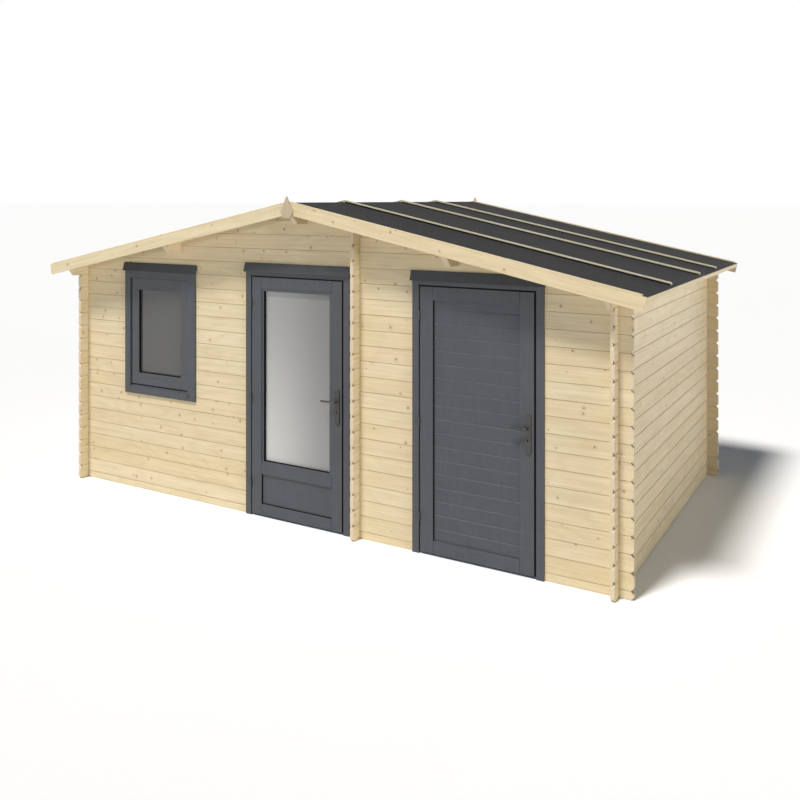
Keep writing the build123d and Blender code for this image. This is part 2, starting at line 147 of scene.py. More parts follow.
def chance(tree, number):
    made = tree.nodes.new("ShaderNodeTexWhiteNoise")
    made.noise_dimensions = "1D"
    tree.links.new(number.socket, made.inputs["W"])
    split = tree.nodes.new("ShaderNodeSeparateColor")
    tree.links.new(made.outputs["Color"], split.inputs[0])
    return [Reading(tree, socket) for socket in split.outputs]


def tint(tree, share, first, second, mode="MIX"):
    made = tree.nodes.new("ShaderNodeMix")
    made.data_type = "RGBA"
    made.blend_type = mode
    for place, value in ((0, share), (6, first), (7, second)):
        feed(tree, made.inputs[place], value)
    return made.outputs[2]


def raise_grain(tree, shader, height, distance, strength):
    made = tree.nodes.new("ShaderNodeBump")
    made.inputs["Strength"].default_value = strength
    made.inputs["Distance"].default_value = distance
    tree.links.new(height.socket, made.inputs["Height"])
    tree.links.new(made.outputs[0], shader.inputs["Normal"])


def pine(name, lay, board, start, piece_of=None, end_axis=None, shade_joints=True, tone=None, toned=None):
    # lay turns X, Y and Z into places along the grain, across the face and into the wood, board and start
    # give the width of a row and where the first begins, and piece_of tells the pieces in a row apart
    finish, tree, shader = new_finish(name)
    x, y, z = read_place(tree)
    along, across, deep = lay(x, y, z)
    row = ((across - start) / board).floor()
    local = across - start - row * board
    seed = row * 3.17 + deep.over(0.0) * 41.3
    if piece_of:
        seed = seed + piece_of(x, y, z) * 11.9
    first, second, third = chance(tree, seed)
    cells = join(
        tree, along / knot_spacing + seed * 7.3, local / knot_row + seed * 2.1, seed * 5.7
    )
    knots = tree.nodes.new("ShaderNodeTexVoronoi")
    knots.inputs["Scale"].default_value = 1.0
    tree.links.new(cells, knots.inputs["Vector"])
    spot = tree.nodes.new("ShaderNodeVectorMath")
    spot.operation = "SUBTRACT"
    tree.links.new(cells, spot.inputs[0])
    tree.links.new(knots.outputs["Position"], spot.inputs[1])
    parts = tree.nodes.new("ShaderNodeSeparateXYZ")
    tree.links.new(spot.outputs[0], parts.inputs[0])
    off_along = Reading(tree, parts.outputs[0]) * knot_spacing
    off_across = Reading(tree, parts.outputs[1]) * knot_row
    away = (off_along * off_along + off_across * off_across).math("SQRT")
    luck = tree.nodes.new("ShaderNodeSeparateColor")
    tree.links.new(knots.outputs["Color"], luck.inputs[0])
    radius = Reading(tree, luck.outputs[0]).ramp(0.18, 1.0, 0.0, largest_knot)
    knot = away.ramp(radius * 1.25, radius * 0.45)
    halo = away.ramp(radius * 3.2, radius * 0.9)
    sway = mottle(tree, join(tree, along * 0.9, seed * 3.3, local * 2.0), 1.0, 2.0) - 0.5
    heart_across = local - board * 0.5 - (first - 0.5) * 0.16 + sway * 0.030
    heart_deep = deep - third * 0.07 - 0.02 + sway * 0.05
    reach = (heart_across * heart_across + heart_deep * heart_deep).math("SQRT")
    reach = reach + halo * 0.006
    wave = (reach / ring_width * full_turn).math("SINE") * 0.5 + 0.5
    late = wave.math("POWER", 1.8)
    fibre = mottle(tree, join(tree, along * 6.0, local * 230.0, deep * 230.0 + seed), 1.0, 3.0, 0.6)
    streak = mottle(tree, join(tree, along * 1.6, local * 62.0, deep * 30.0 + seed * 1.7), 1.0, 3.0, 0.65)
    band = mottle(tree, join(tree, along * 0.7, local * 14.0, seed * 2.3), 1.0, 2.0, 0.5)
    depth_share = late * 0.16 + streak * 1.25 + band * 0.50 + (fibre - 0.5) * 0.60 - 0.65
    colour = tint(tree, depth_share, pine_pale, pine_deep)
    colour = tint(tree, second * 0.50, colour, (1.0, 0.93, 0.88, 1), "MULTIPLY")
    colour = tint(tree, third * 0.45, colour, (0.95, 0.97, 0.86, 1), "MULTIPLY")
    colour = tint(tree, first * 0.22, colour, (0.90, 0.86, 0.80, 1), "MULTIPLY")
    colour = tint(tree, halo * 0.26, colour, (0.58, 0.41, 0.26, 1))
    colour = tint(tree, knot * 0.80, colour, pine_knot)
    if shade_joints:
        # Painted shade: darker along the V joints between rows
        joint_shade = local.math("MINIMUM", local * -1.0 + board).ramp(joint_reach, 0.0005)
        colour = tint(tree, joint_shade * 0.26, colour, pine_joint_shade)
    if end_axis is not None:
        ends = read_place(tree, "Normal")[end_axis].size().ramp(0.4, 0.7)
        sawn = tint(tree, late * 0.45 + fibre * 0.2, (0.73, 0.62, 0.46, 1), (0.55, 0.43, 0.29, 1))
        colour = tint(tree, ends * 0.7, colour, sawn)
    if tone:
        colour = tint(tree, toned(x, y, z) if toned else 1.0, colour, tone, "MULTIPLY")
    tree.links.new(colour, shader.inputs["Base Color"])
    rough = fibre * 0.16 + 0.50 - knot * 0.12
    tree.links.new(rough.socket, shader.inputs["Roughness"])
    shader.inputs["Specular IOR Level"].default_value = 0.32
    raise_grain(tree, shader, late * 0.35 + fibre * 0.5 - knot * 0.2, 0.0007, 0.5)
    return finish


def dress(finish, *names):
    for name in names:
        if not cad[name].material_slots:
            cad[name].data.materials.append(finish)
        for slot in cad[name].material_slots:
            slot.link = "OBJECT"
            slot.material = finish


window_low, window_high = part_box("window_frame")
glazed_low, glazed_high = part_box("glazed_door_frame")
store_low, store_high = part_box("store_door_frame")
head_lap = 0.025
sill_lap = 0.036


def log_between_openings(x, y, z):
    # Logs that a doorway or the window parts are logs of their own
    under_head = (z * -1.0 + glazed_high.z - head_lap).over(0.0)
    beside = z.over(window_low.z + sill_lap) * (z * -1.0 + window_high.z - head_lap).over(0.0)
    count = x.over((glazed_low.x + glazed_high.x) / 2) + x.over((store_low.x + store_high.x) / 2)
    return count * under_head + x.over((window_low.x + window_high.x) / 2) * beside * 3.0


front_logs = pine(
    "pine_front_logs", lambda x, y, z: (x, z, y), log_height, -log_height / 2, log_between_openings, 0
)
side_logs = pine(
    "pine_side_logs", lambda x, y, z: (y, z, x), log_height, 0.0, lambda x, y, z: (x * 3.0).floor(), 1
)
dress(
    front_logs,
    "front_wall_under_window",
    "front_wall_left_of_window",
    "front_wall_window_to_door",
    "front_wall_between_doors",
    "front_wall_right",
    "front_gable",
    "back_wall",
    "back_gable",
)
dress(side_logs, "left_wall", "right_wall", "partition_wall")

# Tongues in the log ends
# Each log bed is tongued and grooved. Between the chamfered log ends of the right wall and the partition the
# tongue shows, with a dark wood fill of painted shade in the groove beside it. The front and back logs get a
# thin dark sliver of painted shade on the chamfer.
end_chamfer = 0.020
tongue_recess = 0.0015
groove_recess = 0.010
shade_sliver_recess = 0.002
shade_sliver_upper = -0.84
shade_sliver_margin = 0.003


def verts_of(parts):
    return [part for part in parts if isinstance(part, bmesh.types.BMVert)]


def faces_of(parts):
    return [part for part in parts if isinstance(part, bmesh.types.BMFace)]


def grow(shape, faces, step):
    # Draws faces out and gives back the faces at the new end
    made = bmesh.ops.extrude_face_region(shape, geom=faces)["geom"]
    bmesh.ops.translate(shape, verts=verts_of(made), vec=step)
    return faces_of(made)


def fill_notch(shape, axis, end, out, z, side_a, side_b, recess, upper=1.0):
    # Three corners across the notch, drawn out to the width of the tongue
    reach = end_chamfer - recess
    corners = []
    for along, up in ((-end_chamfer, 0.0), (-recess, reach * upper), (-recess, -reach)):
        place = [0.0, 0.0, z + up]
        place[axis] = end + out * along
        place[1 - axis] = side_a
        corners.append(shape.verts.new(place))
    width = [0.0, 0.0, 0.0]
    width[1 - axis] = side_b - side_a
    grow(shape, [shape.faces.new(corners)], width)


def put_in_scene(name, data):
    made = bpy.data.objects.new(name, data)
    bpy.context.scene.collection.objects.link(made)
    return made


def make_piece(name, shape, finish, body, smooth=False):
    bmesh.ops.recalc_face_normals(shape, faces=shape.faces[:])
    if smooth:
        for face in shape.faces:
            face.smooth = True
    mesh = bpy.data.meshes.new(name)
    shape.to_mesh(mesh)
    shape.free()
    mesh.materials.append(finish)
    piece = put_in_scene(name, mesh)
    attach(piece, body)
    return piece


def speckled(name, low, high, scale, detail, blend, rough, spread=0.0, metallic=0.0, specular=0.5):
    # An even finish with a fine mottle between two colours, which can also vary how rough it is
    finish, tree, shader = new_finish(name)
    x, y, z = read_place(tree)
    grain = mottle(tree, join(tree, x, y, z), scale, detail, blend)
    feed(tree, shader.inputs["Base Color"], tint(tree, grain, low, high))
    feed(tree, shader.inputs["Roughness"], grain * spread + rough if spread else rough)
    shader.inputs["Metallic"].default_value = metallic
    shader.inputs["Specular IOR Level"].default_value = specular
    return finish


tongues = bmesh.new()
painted_shade_fills = bmesh.new()
for wall, rows in (("partition_wall", 20), ("right_wall", 17)):
    low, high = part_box(wall)
    # The tongue and the groove take their shares of a log 28 mm thick
    step = (high.x - low.x) / 28
    tongue_from, tongue_to, groove_to = (low.x + step * place for place in (1.5, 17, 23))
    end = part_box("partition_wall")[1].y
    for row in range(1, rows):
        for out in (-1, 1):
            z = row * log_height
            fill_notch(tongues, 1, end * out, out, z, tongue_from, tongue_to, tongue_recess)
            fill_notch(painted_shade_fills, 1, end * out, out, z, tongue_to, groove_to, groove_recess)
# Thin dark slivers on the lower chamfers of the front and back log ends are painted shade
for wall in ("front_wall_right", "back_wall"):
    low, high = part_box(wall)
    near, far = low.y + shade_sliver_margin, high.y - shade_sliver_margin
    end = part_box("back_wall")[1].x
    for row in range(16):
        for out in (-1, 1):
            z = (row + 0.5) * log_height
            fill_notch(painted_shade_fills, 0, end * out, out, z, near, far, shade_sliver_recess, shade_sliver_upper)
# Dark wood for the groove fills and the chamfer slivers: painted shade
groove_shade_wood = speckled(
    "painted_shade_groove_wood", (0.20, 0.142, 0.086, 1), (0.36, 0.265, 0.165, 1), 130.0, 3.0, 0.6, 0.85
)
make_piece("log_end_tongues", tongues, side_logs, "cabin")
make_piece("log_end_painted_shade", painted_shade_fills, groove_shade_wood, "cabin")

# Purlins
# Three solid beams carry the roof from gable to gable. Their ends run out under the overhang and are cut
# off on a slope from below.
beam = pine(
    "pine_purlins", lambda x, y, z: (y, z, x), 0.5, -0.2, lambda x, y, z: (x * 2.0).floor(), 1, False
)
dress(beam, "ridge_purlin", "left_purlin", "right_purlin")

# Roof boards, felt and battens
# Boards lie from ridge to eave over the purlins, and mineral felt covers them. Thin battens, each with a
# cover lath, are nailed through the felt to hold it down.
roof_slope = math.tan(math.radians(11.9))
roof_angle = math.atan(roof_slope)
board_width = 0.09
board_count = 36
board_arris = 0.005


def up_the_slope(x, y, z):
    return x, y, z + x.size() * roof_slope


def which_slope(x, y, z):
    return x.over(0.0)


deck = pine("pine_roof_boards", up_the_slope, board_width, -1.8, which_slope, None)
batten = pine(
    "pine_battens", up_the_slope, 0.4, -2.0, which_slope, None, False,
    (0.84, 0.90, 1.0, 1), lambda x, y, z: y.size().ramp(1.5, 1.4)
)


def whole_faces(node):
    # The mesh of a solid with its triangles joined up to whole faces
    shape = bmesh.new()
    shape.from_mesh(cad[node].data)
    bmesh.ops.remove_doubles(shape, verts=shape.verts[:], dist=0.00002)
    bmesh.ops.dissolve_limit(shape, angle_limit=0.01, verts=shape.verts[:], edges=shape.edges[:])
    return shape


def round_off(shape, edges, width, steps, clamp=False):
    bmesh.ops.bevel(
        shape, geom=edges, offset=width, segments=steps, profile=0.5, affect="EDGES", material=-1,
        clamp_overlap=clamp
    )


for side in ("left", "right"):
    node = "roof_deck_" + side
    low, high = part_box(node)
    boards = whole_faces(node)
    pull = Matrix.Translation((0, -low.y, 0))
    bmesh.ops.scale(boards, verts=boards.verts[:], vec=(1, 1 / board_count, 1), space=pull)
    arris = []
    for edge in boards.edges:
        first, second = edge.verts
        level = abs(first.co.y - second.co.y) < 0.001 and edge.calc_length() > 1.0
        if level and min(face.normal.z for face in edge.link_faces) < -0.5:
            arris.append(edge)
    round_off(boards, arris, board_arris, 1)
    first_board = boards.verts[:] + boards.edges[:] + boards.faces[:]
    for place in range(1, board_count):
        copied = bmesh.ops.duplicate(boards, geom=first_board)["geom"]
        shift = (0, place * (high.y - low.y) / board_count, 0)
        bmesh.ops.translate(boards, verts=verts_of(copied), vec=shift)
    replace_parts(make_piece("roof_boards_" + side, boards, deck, "cabin"), node)
dress(batten, "roof_battens_left", "roof_battens_right")

nails = bmesh.new()
nail_radius = 0.0028
nail_head = 0.0009


def disc(shape, place, turn, radius, sides):
    made = bmesh.ops.create_circle(
        shape, cap_ends=True, segments=sides, radius=radius, matrix=Matrix.Translation(place) @ turn
    )["verts"]
    return list(made[0].link_faces)


def drive_nail(place, turn):
    grow(nails, disc(nails, place, turn, nail_radius, 8), turn @ Vector((0, 0, nail_head)))


batten_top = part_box("roof_battens_right")[1].z
batten_places = (-0.861, 0.074, 0.740)
batten_nail_start = 0.12
batten_nail_step = 0.40
lath_height = 0.006
for y in batten_places:
    for place in range(7):
        for out in (-1, 1):
            reach = batten_nail_start + place * batten_nail_step
            z = batten_top + lath_height * 1.02 - reach * roof_slope
            drive_nail((out * reach, y, z), Matrix.Rotation(out * roof_angle, 4, "Y"))

felt, tree, shader = new_finish("mineral_felt")
x, y, z = read_place(tree)
grit = mottle(tree, join(tree, x, y, z), 420.0, 2.0, 0.7)
cloud = mottle(tree, join(tree, x * 0.7, y * 1.6, z), 2.2, 3.0, 0.6)
shade = grit * 0.55 + cloud * 0.45
felt_colour = tint(tree, shade, (0.0066, 0.0065, 0.0066, 1), (0.0190, 0.0188, 0.0190, 1))
tree.links.new(felt_colour, shader.inputs["Base Color"])
shader.inputs["Roughness"].default_value = 0.93
shader.inputs["Specular IOR Level"].default_value = 0.2
raise_grain(tree, shader, grit, 0.0012, 0.6)
dress(felt, "roof_felt_left", "roof_felt_right")


def add_bar(shape, low, high, ease):
    # A straight strip with its arrises taken off
    made = bmesh.ops.create_cube(shape, size=1.0)["verts"]
    bmesh.ops.scale(shape, verts=made, vec=[b - a for a, b in zip(low, high)])
    bmesh.ops.translate(shape, verts=made, vec=[(a + b) / 2 for a, b in zip(low, high)])
    edges = list({edge for vert in made for edge in vert.link_edges})
    round_off(shape, edges, ease, 2)


def lay_on_slopes(shape, strips):
    # Strips that run from near to far off the ridge are leaned on both slopes, level with the batten tops
    for out in (-1, 1):
        half = bmesh.new()
        for near, far, side_a, side_b, foot, top, ease in strips:
            ends = sorted((out * near, out * far))
            sides = sorted((side_a, side_b))
            add_bar(half, (ends[0], sides[0], foot), (ends[1], sides[1], top), ease)
        lean = Matrix.Translation((0, 0, batten_top)) @ Matrix.Rotation(out * roof_angle, 4, "Y")
        bmesh.ops.transform(half, matrix=lean, verts=half.verts[:])
        loose = bpy.data.meshes.new("slope_half")
        half.to_mesh(loose)
        half.free()
        shape.from_mesh(loose)
        bpy.data.meshes.remove(loose)


# A thin lath covers each batten, and the felt is turned up along both sides, coloured near black as painted
# shade
batten_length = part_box("roof_battens_right")[1].x / math.cos(roof_angle)
lath_half = 0.0149
lath_foot = -0.0004
laths = bmesh.new()
lay_on_slopes(laths, [
    (-0.001, batten_length - 0.003, y - lath_half, y + lath_half, lath_foot, lath_height, 0.001)
    for y in batten_places
])
make_piece("batten_cover_laths", laths, batten, "cabin")

fold_start = 0.012
fold_gap = 0.0152
fold_foot = -0.0125
folds = []
for y in batten_places:
    for side in (-1, 1):
        edge = y + side * fold_gap
        turned_up = -0.0030 if y == batten_places[0] and side < 0 else -0.0050
        for reach, rise in ((0.003, turned_up), (0.014, -0.0108)):
            sides = (edge, edge + side * reach)
            folds.append((fold_start, batten_length - 0.004, *sides, fold_foot, rise, 0.0006))
upstands = bmesh.new()
lay_on_slopes(upstands, folds)
# Near-black felt along the batten sides: painted shade
fold_shade = speckled(
    "felt_fold_painted_shade", (0.0010, 0.0010, 0.0010, 1), (0.0045, 0.0045, 0.0045, 1),
    420.0, 2.0, 0.7, 0.95, specular=0.1
)
make_piece("felt_upstands_painted_shade", upstands, fold_shade, "cabin")

# Eave boards, barge boards and finials
# A thin board closes each eave. Two barge boards close each gable under the felt, and a sawn finial is
# nailed over their joint at the ridge.
eave = pine(
    "pine_eave_boards", lambda x, y, z: (y, z + x.size() * roof_slope, x), 0.4, 1.0, None, 1, False
)
barge = pine(
    "pine_barge_boards", lambda x, y, z: (x, z + x.size() * roof_slope, y), 0.9, 2.0,
    which_slope, None, False
)
crest = pine(
    "pine_finials", lambda x, y, z: (z, x, y), 0.5, -0.25, None, 2, False, (0.73, 0.71, 0.74, 1)
)


def eased(node, width, finish, body):
    # A part with its sharp edges planed off, so that they catch the light
    shape = whole_faces(node)
    sharp = [e for e in shape.edges if len(e.link_faces) == 2 and e.calc_face_angle(0.0) > 0.35]
    round_off(shape, sharp, width, 2, True)
    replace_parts(make_piece(node + "_eased", shape, finish, body), node)


dress(eave, "eave_board_left", "eave_board_right")
for gable in ("front", "back"):
    eased(gable + "_barge_boards", 0.002, barge, "cabin")
    eased(gable + "_finial", 0.003, crest, "cabin")
barge_low, barge_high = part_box("front_barge_boards")
barge_nail_start = 0.16
barge_nail_step = 0.48
facing = Matrix.Rotation(math.pi / 2, 4, "X")
facing_back = Matrix.Rotation(-math.pi / 2, 4, "X")
for place in range(6):
    for out in (-1, 1):
        for drop in (0.028, 0.068):
            reach = barge_nail_start + place * barge_nail_step
            z = barge_high.z - reach * roof_slope - drop
            drive_nail((out * reach, barge_low.y, z), facing)
            drive_nail((out * reach, -barge_low.y, z), facing_back)
zinc = speckled(
    "yellow_zinc_nails", (0.50, 0.42, 0.27, 1), (0.62, 0.54, 0.37, 1),
    700.0, 2.0, 0.5, 0.5, metallic=0.35
)
make_piece("roof_nails", nails, zinc, "cabin")


# Window and door frames
# Grooved timber frames slide over the sawn log ends and are painted dark grey, with a sloped drip board over
# each of them.
def paint(name, low, high, sheen, up_face_highlight=None):
    finish, tree, shader = new_finish(name)
    x, y, z = read_place(tree)
    brush = mottle(tree, join(tree, x * 9.0, y * 30.0, z * 105.0), 1.0, 3.0, 0.6)
    stroke = mottle(tree, join(tree, x * 105.0, y * 190.0, z * 7.0), 1.0, 3.0, 0.6)
    patch = mottle(tree, join(tree, x, y, z), 5.0, 2.0)
    share = brush * 0.55 + stroke * 0.55 + patch * 0.3 - 0.2
    colour = tint(tree, share, low, high)
    if up_face_highlight:
        # Painted highlight: faces that look up are made paler. Painted shade: faces that look down are made
        # near black
        edge = read_place(tree, "Normal")[2].ramp(0.3, 0.6)
        colour = tint(tree, edge * (brush * 0.6 + 0.6), colour, up_face_highlight)
        under = read_place(tree, "Normal")[2].ramp(-0.3, -0.6)
        colour = tint(tree, under * 0.85, colour, (0.010, 0.011, 0.013, 1))
    tree.links.new(colour, shader.inputs["Base Color"])
    tree.links.new((brush * 0.2 + sheen).socket, shader.inputs["Roughness"])
    shader.inputs["Specular IOR Level"].default_value = 0.4
    raise_grain(tree, shader, brush * 0.5 + stroke * 0.5, 0.0004, 0.35)
    return finish


door_paint = paint("dark_grey_paint", (0.0411, 0.0452, 0.0521, 1), (0.0870, 0.0940, 0.1071, 1), 0.42)
# The same dark grey paint made darker for the drip boards and the drain cap: painted shade
drip_shaded_paint = paint("drip_board_painted_shade", (0.0327, 0.0352, 0.0401, 1), (0.0524, 0.0556, 0.0622, 1), 0.46)
for opening in ("window", "glazed_door", "store_door"):
    eased(opening + "_frame", 0.0015, door_paint, "cabin")
    eased(opening + "_drip_board", 0.002, drip_shaded_paint, "cabin")

# Window sash and panes
# A fixed sash of four painted members holds one sheet of glass behind mitred beads, on black rubber at its
# left and foot that is partly painted shade. Painted strips close the joint to the frame, with a rubber strip
# beside them at the left and the foot, partly painted shade in that joint.
eased("window_sash", 0.003, door_paint, "cabin")


def glass(name, pane, left_foot, right_foot, left_head, right_head, veil, lift=None):
    # Cast glass with a painted reflection, paler towards one lower corner, and painted light close under the
    # top rail that evens out the rail's shadow
    finish, tree, shader = new_finish(name)
    x, y, z = read_place(tree)
    low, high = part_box(pane)
    across = x.ramp(low.x, high.x)
    up = z.ramp(low.z, high.z)
    # Painted reflection: the four corner colours are blended over the pane
    left = tint(tree, up, left_foot, left_head)
    right = tint(tree, up, right_foot, right_head)
    ripple = mottle(tree, join(tree, x, y, z), 3.0, 1.0)
    colour = tint(tree, ripple * 0.10, tint(tree, across, left, right), (1.0, 1.0, 0.98, 1), "MULTIPLY")
    if lift:
        painted_light_under_rail = z.ramp(high.z - 0.094, high.z - 0.074)
        colour = tint(tree, painted_light_under_rail, colour, (lift, lift, lift, 1), "MULTIPLY")
    tree.links.new(colour, shader.inputs["Base Color"])
    shader.inputs["Roughness"].default_value = 0.04
    shader.inputs["IOR"].default_value = 1.5
    shader.inputs["Transmission Weight"].default_value = veil
    raise_grain(tree, shader, ripple, 0.0006, 0.05)
    return finish


plain = (0.205, 0.203, 0.198, 1)
dress(glass("window_glass", "window_pane", plain, plain, plain, plain, 0.55), "window_pane")

# Black rubber, also used for strips and blocks that are painted shade in joints, reveals and the keyhole
rubber = speckled(
    "black_rubber_and_painted_shade", (0.0022, 0.0022, 0.0022, 1), (0.0060, 0.0060, 0.0060, 1),
    60.0, 3.0, 0.5, 0.75, specular=0.08
)


def mitred_ring(shape, x0, x1, z0, z1, front, back, width):
    # A flat sheet is inset, its middle is taken out, and the ring that stays is drawn back
    turn = Matrix.Translation(((x0 + x1) / 2, front, (z0 + z1) / 2)) @ facing
    sheet = bmesh.ops.create_grid(shape, x_segments=1, y_segments=1, size=0.5)["verts"]
    bmesh.ops.scale(shape, verts=sheet, vec=(x1 - x0, z1 - z0, 1))
    bmesh.ops.transform(shape, matrix=turn, verts=sheet)
    middle = list(sheet[0].link_faces)
    ring = bmesh.ops.inset_region(
        shape, faces=middle, thickness=width, use_even_offset=True, use_boundary=True
    )["faces"]
    bmesh.ops.delete(shape, geom=middle, context="FACES")
    grow(shape, ring, (0, back - front, 0))


bead_lap = 0.0100
bead_round = 0.003
bed = 0.0005
seal_ease = 0.0008


def glaze(pane, front, width, lining, body):
    # The beads stand in the opening, and black rubber lines them down to the glass at the left and the foot,
    # partly as painted shade in those reveals
    low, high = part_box(pane)
    x0, x1, z0, z1 = low.x + bead_lap, high.x - bead_lap, low.z + bead_lap, high.z - bead_lap
    beads = bmesh.new()
    mitred_ring(beads, x0, x1, z0, z1, front, low.y - bed, width)
    lip = []
    for edge in beads.edges:
        at_front = max(abs(vert.co.y - front) for vert in edge.verts) < 0.0001
        inside = all(
            x0 + width / 2 < vert.co.x < x1 - width / 2 and z0 + width / 2 < vert.co.z < z1 - width / 2
            for vert in edge.verts
        )
        if at_front and inside:
            lip.append(edge)
    round_off(beads, lip, bead_round, 3)
    make_piece(pane + "_beads", beads, door_paint, body)
    seal = bmesh.new()
    inner = width + 0.0003
    low_corner = (x0 + inner, front + 0.002, z0 + inner)
    add_bar(seal, low_corner, (x0 + inner + lining, low.y - bed, z1 - inner), seal_ease)
    add_bar(seal, low_corner, (x1 - inner, low.y - bed, z0 + inner + lining), seal_ease)
    if body == "glazed_door":
        # A dark strip paints the shade in the joint between the bead and the stile
        foot = (x0 + 0.0002, front - 0.0008, z0 + 0.0002)
        add_bar(seal, foot, (x0 + 0.005, front + 0.001, z1 - 0.0002), 0.0004)
    make_piece(pane + "_seal", seal, rubber, body)


sash_low, sash_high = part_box("window_sash")
glaze("window_pane", sash_low.y + 0.003, 0.010, 0.005, "cabin")

ledge_y = window_low.y + 0.0088
ledge = 0.0227
seal_width = 0.0105
seal_y = window_low.y + 0.0008
seal_foot = sash_low.z - seal_width * 0.7
cover_y = window_low.y + 0.004
raised_y = window_low.y + 0.001
close = 0.0003
clear = 0.0004
strip_ease = 0.001
# Black rubber at the left and the foot of the sash only, a seal that also paints the shade in that joint
strip = bmesh.new()
cover = bmesh.new()
for shape, low, high in (
    (
        strip, (sash_low.x - seal_width, seal_y, sash_low.z - seal_width),
        (sash_low.x - close, ledge_y, sash_high.z),
    ),
    (strip, (sash_low.x - seal_width, seal_y, seal_foot), (sash_high.x, ledge_y, sash_low.z - close)),
    (
        cover, (sash_low.x - ledge, cover_y, sash_low.z - ledge),
        (sash_low.x - seal_width - close, ledge_y, sash_high.z),
    ),
    (
        cover, (sash_low.x - ledge, cover_y, sash_low.z - ledge),
        (sash_high.x, ledge_y, seal_foot - close),
    ),
    (
        cover, (sash_high.x + clear, raised_y, sash_low.z - ledge),
        (sash_high.x + ledge, ledge_y, sash_high.z + ledge),
    ),
    (
        cover, (sash_low.x - ledge, raised_y, sash_high.z + clear),
        (sash_high.x + clear, ledge_y, sash_high.z + ledge),
    ),
):
    add_bar(shape, low, high, strip_ease)
make_piece("window_seal_and_painted_shade", strip, rubber, "cabin")
make_piece("window_cover_strips", cover, door_paint, "cabin")
drain_low = (-1.208, window_low.y - 0.003, 0.837)
drain_high = (-1.172, window_low.y + 0.002, 0.877)
drain = bmesh.new()
add_bar(drain, drain_low, drain_high, 0.0025)
make_piece("window_drain_cap", drain, drip_shaded_paint, "cabin")

# Glazed door
# A framed timber leaf, painted dark grey, with a tall pane held by beads over a flat sunk panel. It hangs on
# three lift-off hinges at its left, and black rubber strips close the joint round it, partly as painted shade
# in the joint.
eased("glazed_door_leaf", 0.003, door_paint, "glazed_door")
dress(door_paint, "glazed_door_panel")
# The door pane's colours are a painted reflection, paler at the lower left, with painted light under the top
# rail
door_glass_painted_reflection = glass(
    "door_glass_painted_reflection", "glazed_door_pane", (0.80, 0.795, 0.78, 1), (0.42, 0.416, 0.409, 1),
    (0.49, 0.488, 0.482, 1), (0.32, 0.317, 0.312, 1), 0.35, 1.27
)
dress(door_glass_painted_reflection, "glazed_door_pane")
glazed_leaf_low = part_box("glazed_door_leaf")[0]
glaze("glazed_door_pane", glazed_leaf_low.y + 0.003, 0.020, 0.003, "glazed_door")

hinge_gap = 0.008
lock_gap = 0.012
head_gap = 0.008
seal_start = 0.004
panel_seal = 0.0025


def seal_leaf(door, x0, z0, z1, panel):
    # Black rubber strips in the joint, partly painted shade: on the lock edge and top of the leaf, and on the
    # jambs and the head round it. The strips at the left of the sunk panel, and at its foot on the glazed
    # door, are painted shade
    low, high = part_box(door + "_leaf")
    y0, y1 = low.y + 0.0003, high.y - 0.003
    foot = low.z + seal_start
    strips = bmesh.new()
    add_bar(strips, (high.x - 0.003, y0, foot), (high.x + 0.0045, y1, high.z), seal_ease)
    top_corner = (high.x + 0.0045, y1, high.z + 0.0025)
    add_bar(strips, (low.x + seal_start, y0, high.z - 0.003), top_corner, seal_ease)
    # Painted shade: black strips in the recess of the sunk panel
    panel_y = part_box(panel)[0].y
    corner = (low.x + x0, low.y + panel_seal, low.z + z0)
    add_bar(strips, corner, (low.x + x0 + 0.005, panel_y, low.z + z1), seal_ease)
    if panel == "glazed_door_panel":
        add_bar(strips, corner, (high.x - x0, panel_y, low.z + z0 + 0.004), seal_ease)
    make_piece(door + "_leaf_seal_and_painted_shade", strips, rubber, door)
    jamb = bmesh.new()
    edge = low.x - hinge_gap
    lock = high.x + lock_gap
    head = high.z + head_gap
    add_bar(jamb, (edge - 0.0016, y0, foot), (edge + 0.0046, y1, high.z + 0.003), seal_ease)
    add_bar(jamb, (lock - 0.0054, y0, foot), (lock + 0.0016, y1, high.z + 0.003), seal_ease)
    add_bar(jamb, (edge, y0, head - 0.0045), (lock, y1, head + 0.0016), seal_ease)
    make_piece(door + "_jamb_seal_and_painted_shade", jamb, rubber, "cabin")


seal_leaf("glazed_door", 0.096, 0.086, 0.336, "glazed_door_panel")

# Store door
# A framed timber leaf with level boards behind, cut to a V at each joint and painted dark grey. It is hung
# and sealed like the glazed door.
eased("store_door_leaf", 0.003, door_paint, "store_door")
# The boards' upward chamfers get a painted highlight, and their downward faces painted shade
board_paint = paint(
    "dark_grey_board_paint", (0.0403, 0.0444, 0.0513, 1), (0.0854, 0.0924, 0.1056, 1), 0.42,
    (0.160, 0.169, 0.183, 1)
)
dress(board_paint, "store_door_boarding")
seal_leaf("store_door", 0.104, 0.092, 1.774, "store_door_boarding")

# Hinges and handles
# Dark coated steel. A hinge has a wing with half of the barrel on the leaf and another on the jamb. Long lock
# plates with a keyhole are screwed to both faces of a leaf, and each carries a lever bent from round bar.
metal = speckled(
    "dark_coated_steel", (0.050, 0.049, 0.047, 1), (0.090, 0.087, 0.083, 1),
    160.0, 3.0, 0.6, 0.3, spread=0.2, metallic=0.65
)


def rim(faces):
    return list({edge for face in faces for edge in face.edges})


def to_both_sides(shape, middle):
    # The same fitting is put on the other face of the leaf
    copied = bmesh.ops.duplicate(shape, geom=shape.verts[:] + shape.edges[:] + shape.faces[:])["geom"]
    bmesh.ops.scale(
        shape, verts=verts_of(copied), vec=(1, -1, 1), space=Matrix.Translation((0, -middle, 0))
    )


